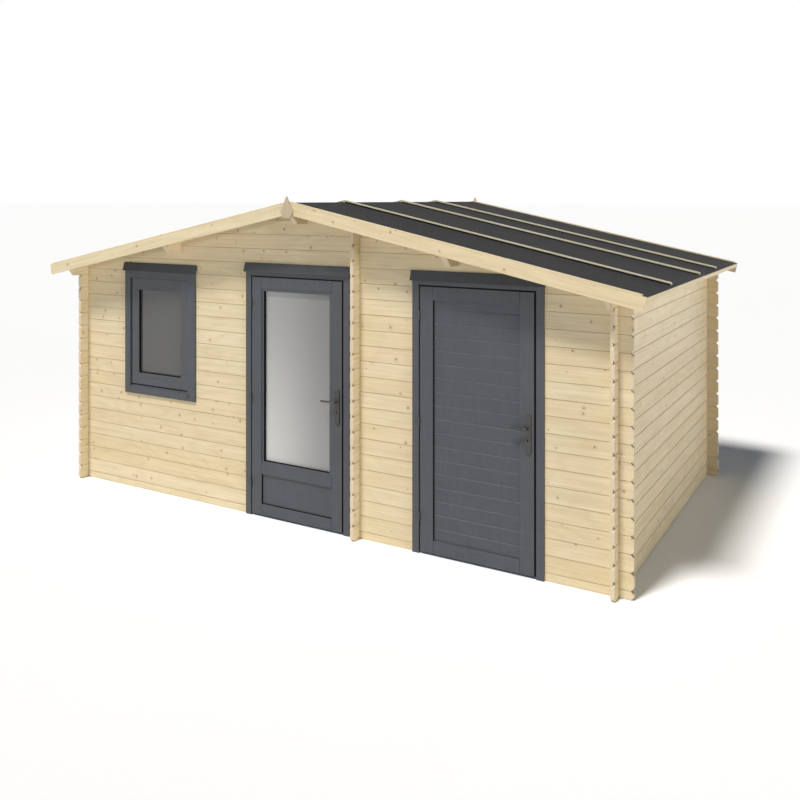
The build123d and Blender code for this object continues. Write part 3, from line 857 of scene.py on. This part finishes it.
plate_round = 0.0030
key_drop = 0.077
key_radius = 0.0048
key_slot = 0.010
screw_radius = 0.0042
screw_rise = 0.0012
collar_radius = 0.0135
collar_rise = 0.005
lever_radius = 0.0078
lever_bend = 0.016
barrel_radius = 0.007
barrel_half = 0.0318
cap_radius = 0.0038
cap_rise = 0.003
wing_thickness = 0.0025
hinge_heights = (0.13, 0.487, 0.89)
upright = Matrix.Identity(4)
for door in ("glazed", "store"):
    low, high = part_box(door + "_door_leaf")
    middle = (low.y + high.y) / 2
    plate_low, plate_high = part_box(door + "_door_handle_plates")
    lever_low, lever_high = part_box(door + "_door_lever")
    lock_x = (plate_low.x + plate_high.x) / 2
    lock_z = (lever_low.z + lever_high.z) / 2
    half = (plate_high.x - plate_low.x) / 2
    centre_z = (plate_low.z + plate_high.z) / 2
    straight = (plate_high.z - plate_low.z) / 2 - half

    # The lock plate is a long plate with round ends, a keyhole and two screws
    plate = bmesh.new()
    outline = bmesh.ops.create_circle(
        plate, segments=48, radius=half, matrix=Matrix.Translation((lock_x, low.y, centre_z)) @ facing
    )["verts"]
    for way in (-1, 1):
        end = [v for v in outline if (v.co.z - centre_z) * way > 0.0001]
        bmesh.ops.translate(plate, verts=end, vec=(0, 0, way * straight))
    key_z = lock_z - key_drop
    keyhole = bmesh.ops.create_circle(
        plate, segments=20, radius=key_radius, matrix=Matrix.Translation((lock_x, low.y, key_z)) @ facing
    )["verts"]
    slot_end = [v for v in keyhole if v.co.z < key_z - 0.0036]
    bmesh.ops.translate(plate, verts=slot_end, vec=(0, 0, -key_slot))
    sheet = bmesh.ops.triangle_fill(plate, edges=plate.edges[:], use_beauty=True)["geom"]
    front = grow(plate, faces_of(sheet), (0, plate_low.y - low.y, 0))
    outer = []
    for edge in rim(front):
        spread = [
            math.hypot(v.co.x - lock_x, max(0.0, abs(v.co.z - centre_z) - straight)) for v in edge.verts
        ]
        if min(spread) > half * 0.97 and len([f for f in edge.link_faces if f in front]) == 1:
            outer.append(edge)
    round_off(plate, outer, plate_round, 3)
    for z in (centre_z - straight, centre_z + straight):
        head = disc(plate, (lock_x, plate_low.y, z), facing, screw_radius, 20)
        head = grow(plate, head, (0, -screw_rise, 0))
        bmesh.ops.inset_region(plate, faces=head, thickness=0.0012, depth=-0.0006)
    # A black block behind the keyhole paints the shade in the hole
    hole = bmesh.new()
    add_bar(
        hole, (lock_x - 0.006, plate_low.y + 0.004, key_z - 0.016),
        (lock_x + 0.006, low.y - 0.0004, key_z + 0.006), 0.0005
    )
    to_both_sides(hole, middle)
    make_piece(door + "_keyhole_painted_shade", hole, rubber, door + "_door")
    collar = disc(plate, (lock_x, plate_low.y, lock_z), facing, collar_radius, 32)
    collar = grow(plate, collar, (0, -collar_rise, 0))
    round_off(plate, rim(collar), 0.0018, 3)
    to_both_sides(plate, middle)
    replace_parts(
        make_piece(door + "_lock_plates", plate, metal, door + "_door"),
        door + "_door_handle_plates",
    )

    # The lever is one round bar, bent square to its neck and rounded at the tip
    bar = bmesh.new()
    grip_y = lever_low.y + lever_radius
    neck = disc(bar, (lock_x, plate_low.y, lock_z), facing, lever_radius, 24)
    neck = grow(bar, neck, (0, grip_y + lever_bend - plate_low.y, 0))
    turned = bmesh.ops.spin(
        bar, geom=neck + rim(neck) + list(neck[0].verts),
        cent=(lock_x - lever_bend, grip_y + lever_bend, lock_z),
        axis=(0, 0, 1), angle=-math.pi / 2, steps=8
    )["geom_last"]
    tip = grow(bar, faces_of(turned), (lever_low.x - lock_x + lever_bend, 0, 0))
    round_off(bar, rim(tip), 0.0062, 4)
    to_both_sides(bar, middle)
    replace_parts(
        make_piece(door + "_lever_bar", bar, metal, door + "_lever", True),
        door + "_door_lever",
    )

    # A hinge has a wing on the leaf and one on the jamb, each with half of the barrel
    axis_x = low.x - 0.004
    axis_y = low.y - 0.009
    for node, body, way in (("hinge_pins", "cabin", -1), ("hinge_knuckles", door + "_door", 1)):
        hinge = bmesh.new()
        for share in hinge_heights:
            z = low.z + (high.z - low.z) * share
            barrel = disc(hinge, (axis_x, axis_y, z), upright, barrel_radius, 24)
            barrel = grow(hinge, barrel, (0, 0, way * barrel_half))
            round_off(hinge, rim(barrel), 0.0022, 3)
            cap = disc(hinge, (axis_x, axis_y, z + way * 0.0316), upright, cap_radius, 16)
            cap = grow(hinge, cap, (0, 0, way * cap_rise))
            round_off(hinge, rim(cap), 0.0014, 2)
            wing = axis_x + way * 0.0037
            sides = sorted((wing, wing - way * wing_thickness))
            ends = sorted((z + way * 0.0005, z + way * barrel_half))
            add_bar(
                hinge, (sides[0], axis_y, ends[0]), (sides[1], low.y + 0.030, ends[1]), 0.0005
            )
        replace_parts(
            make_piece(door + "_" + node + "_turned", hinge, metal, body),
            door + "_door_" + node,
        )

# Ground, light and camera
# A pale studio floor that keeps the shadow, soft sky light, one broad sun from the front left, a weak level
# lamp towards each of the four walls, and the camera of the photograph.
floor_mesh = bpy.data.meshes.new("studio_floor")
shape = bmesh.new()
bmesh.ops.create_grid(shape, x_segments=1, y_segments=1, size=400.0)
shape.to_mesh(floor_mesh)
shape.free()
floor = put_in_scene("studio_floor", floor_mesh)


def seen_by_camera(tree):
    # One where the camera sees the surface straight, in a reflection or through glass
    path = tree.nodes.new("ShaderNodeLightPath")
    seen = Reading(tree, path.outputs["Is Camera Ray"])
    for ray in ("Is Glossy Ray", "Is Transmission Ray"):
        seen = seen.math("MAXIMUM", Reading(tree, path.outputs[ray]))
    return seen


floor_finish, tree, shader = new_finish("studio_floor")
shader.inputs["Roughness"].default_value = 0.9
shader.inputs["Specular IOR Level"].default_value = 0.0
seen = seen_by_camera(tree)
floor_colour = tint(tree, seen, (0.80, 0.81, 0.82, 1), (0.99, 0.985, 0.98, 1))
tree.links.new(floor_colour, shader.inputs["Base Color"])
shader.inputs["Emission Color"].default_value = (0.45, 0.70, 1, 1)
tree.links.new((seen * 0.045).socket, shader.inputs["Emission Strength"])
floor_mesh.materials.append(floor_finish)

world = bpy.data.worlds.new("studio_sky")
bpy.context.scene.world = world
world.use_nodes = True
tree = world.node_tree
sky = tree.nodes["Background"]
sky.inputs["Color"].default_value = (0.58, 0.79, 1, 1)
height = read_place(tree, "Generated")[2]
tree.links.new(height.ramp(0.0, 1.0, 0.09, 0.04).socket, sky.inputs["Strength"])
white = tree.nodes.new("ShaderNodeBackground")
white.inputs["Color"].default_value = (1, 1, 1, 1)
white.inputs["Strength"].default_value = 1.0
seen = seen_by_camera(tree)
choice = tree.nodes.new("ShaderNodeMixShader")
tree.links.new(seen.socket, choice.inputs[0])
tree.links.new(sky.outputs[0], choice.inputs[1])
tree.links.new(white.outputs[0], choice.inputs[2])
tree.links.new(choice.outputs[0], tree.nodes["World Output"].inputs["Surface"])


def add_sun(name, strength, spread, colour, travel):
    data = bpy.data.lights.new(name, "SUN")
    data.energy = strength
    data.angle = math.radians(spread)
    data.color = colour
    lamp = put_in_scene(name, data)
    lamp.rotation_euler = Vector(travel).to_track_quat("-Z", "Y").to_euler()


add_sun("soft_sun", 3.20, 12, (1.0, 0.976, 0.948), (0.31, 0.96, -1.94))
add_sun("side_fill", 1.88, 8, (1.0, 0.995, 0.985), (-0.97, 0.20, 0.0))
add_sun("front_fill", 0.72, 10, (1.0, 1.0, 1.0), (0.12, 1.0, 0.0))
add_sun("back_fill", 1.30, 10, (1.0, 1.0, 1.0), (-0.15, -1.0, 0.0))
add_sun("left_fill", 1.10, 10, (1.0, 1.0, 1.0), (1.0, 0.1, 0.0))

camera_data = bpy.data.cameras.new("photo_camera")
camera_data.lens = 39.34
camera_data.sensor_width = 36.0
camera_data.shift_y = -0.2506
camera_data.clip_end = 1000.0
camera = put_in_scene("photo_camera", camera_data)
camera.location = (3.985, -6.863, 2.499)
camera.rotation_euler = (math.radians(90), 0, math.radians(30))
bpy.context.scene.camera = camera
bpy.context.scene.view_settings.view_transform = "Standard"
